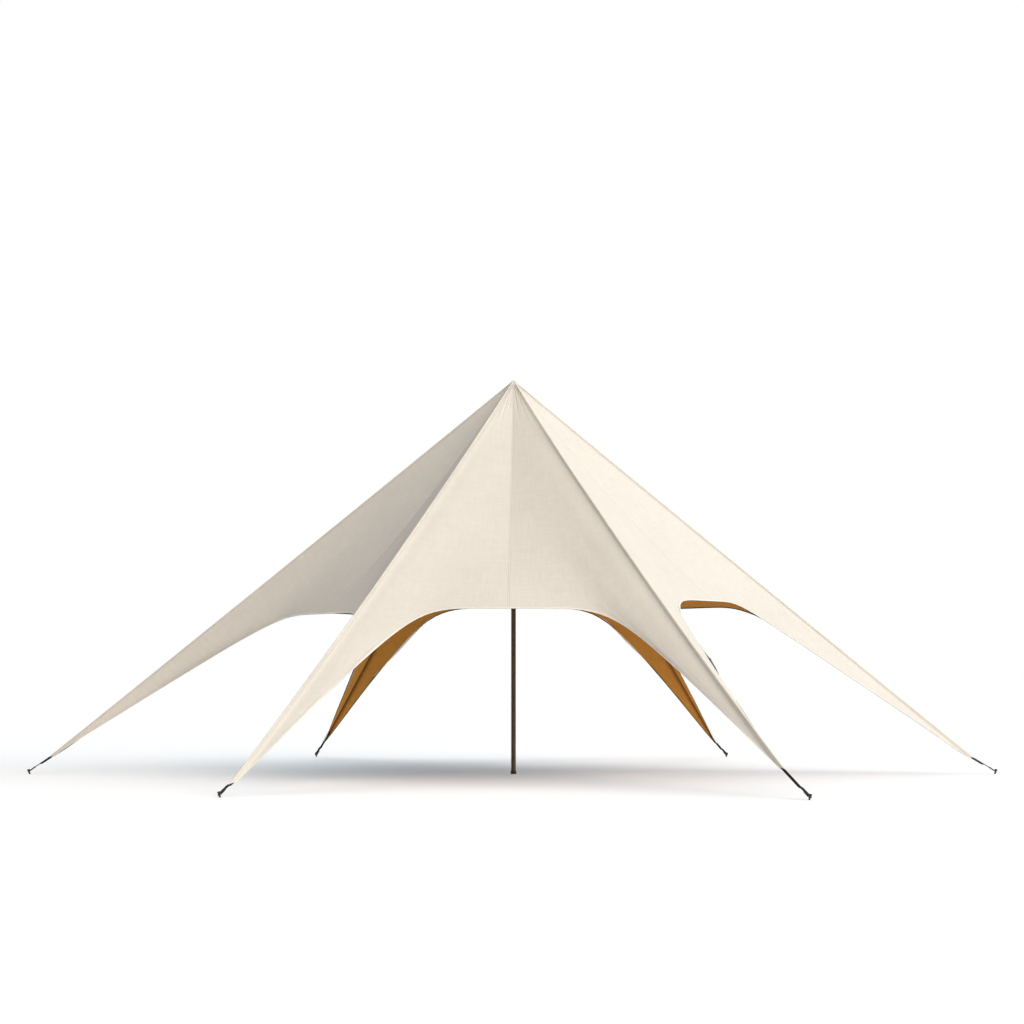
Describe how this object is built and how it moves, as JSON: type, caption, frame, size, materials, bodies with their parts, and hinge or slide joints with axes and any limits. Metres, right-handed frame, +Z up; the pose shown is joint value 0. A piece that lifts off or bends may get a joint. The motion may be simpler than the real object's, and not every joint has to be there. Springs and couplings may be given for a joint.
{
  "type": "star tent",
  "caption": "Open-sided canvas star tent: a central mast, a peaked canopy whose pointed arms are strapped down to ground pegs, and arched hems between them.",
  "frame": {"origin": "centre of the mast foot's underside, at ground level", "axes": "+Z up along the mast, +X along the right arm, -Y towards the front bay"},
  "size_m": [11.998, 10.6031, 4.8872],
  "materials": {
    "canvas": "cream cotton canvas, fine weave, amber brown on the underside",
    "canvas_band": "cream canvas band, stitched",
    "black_webbing": "black woven webbing",
    "bronze_paint": "satin bronze brown",
    "black_rubber": "matt",
    "black_steel": "black coated steel"
  },
  "bodies": {
    "root": {"mast_foot": "black_rubber", "mast_pole": "bronze_paint", "mast_head": "black_steel", "front_panel_left": "canvas", "front_panel_right": "canvas", "right_front_panel_left": "canvas", "right_front_panel_right": "canvas", "right_rear_panel_left": "canvas", "right_rear_panel_right": "canvas", "rear_panel_left": "canvas", "rear_panel_right": "canvas", "left_rear_panel_left": "canvas", "left_rear_panel_right": "canvas", "left_front_panel_left": "canvas", "left_front_panel_right": "canvas", "right_ridge_band": "canvas_band", "rear_right_ridge_band": "canvas_band", "rear_left_ridge_band": "canvas_band", "left_ridge_band": "canvas_band", "front_left_ridge_band": "canvas_band", "front_right_ridge_band": "canvas_band", "front_hem_tape": "black_webbing", "right_front_hem_tape": "black_webbing", "right_rear_hem_tape": "black_webbing", "rear_hem_tape": "black_webbing", "left_rear_hem_tape": "black_webbing", "left_front_hem_tape": "black_webbing", "right_strap": "black_webbing", "right_ring": "black_steel", "right_peg": "black_steel", "rear_right_strap": "black_webbing", "rear_right_ring": "black_steel", "rear_right_peg": "black_steel", "rear_left_strap": "black_webbing", "rear_left_ring": "black_steel", "rear_left_peg": "black_steel", "left_strap": "black_webbing", "left_ring": "black_steel", "left_peg": "black_steel", "front_left_strap": "black_webbing", "front_left_ring": "black_steel", "front_left_peg": "black_steel", "front_right_strap": "black_webbing", "front_right_ring": "black_steel", "front_right_peg": "black_steel"}
  },
  "joints": []
}
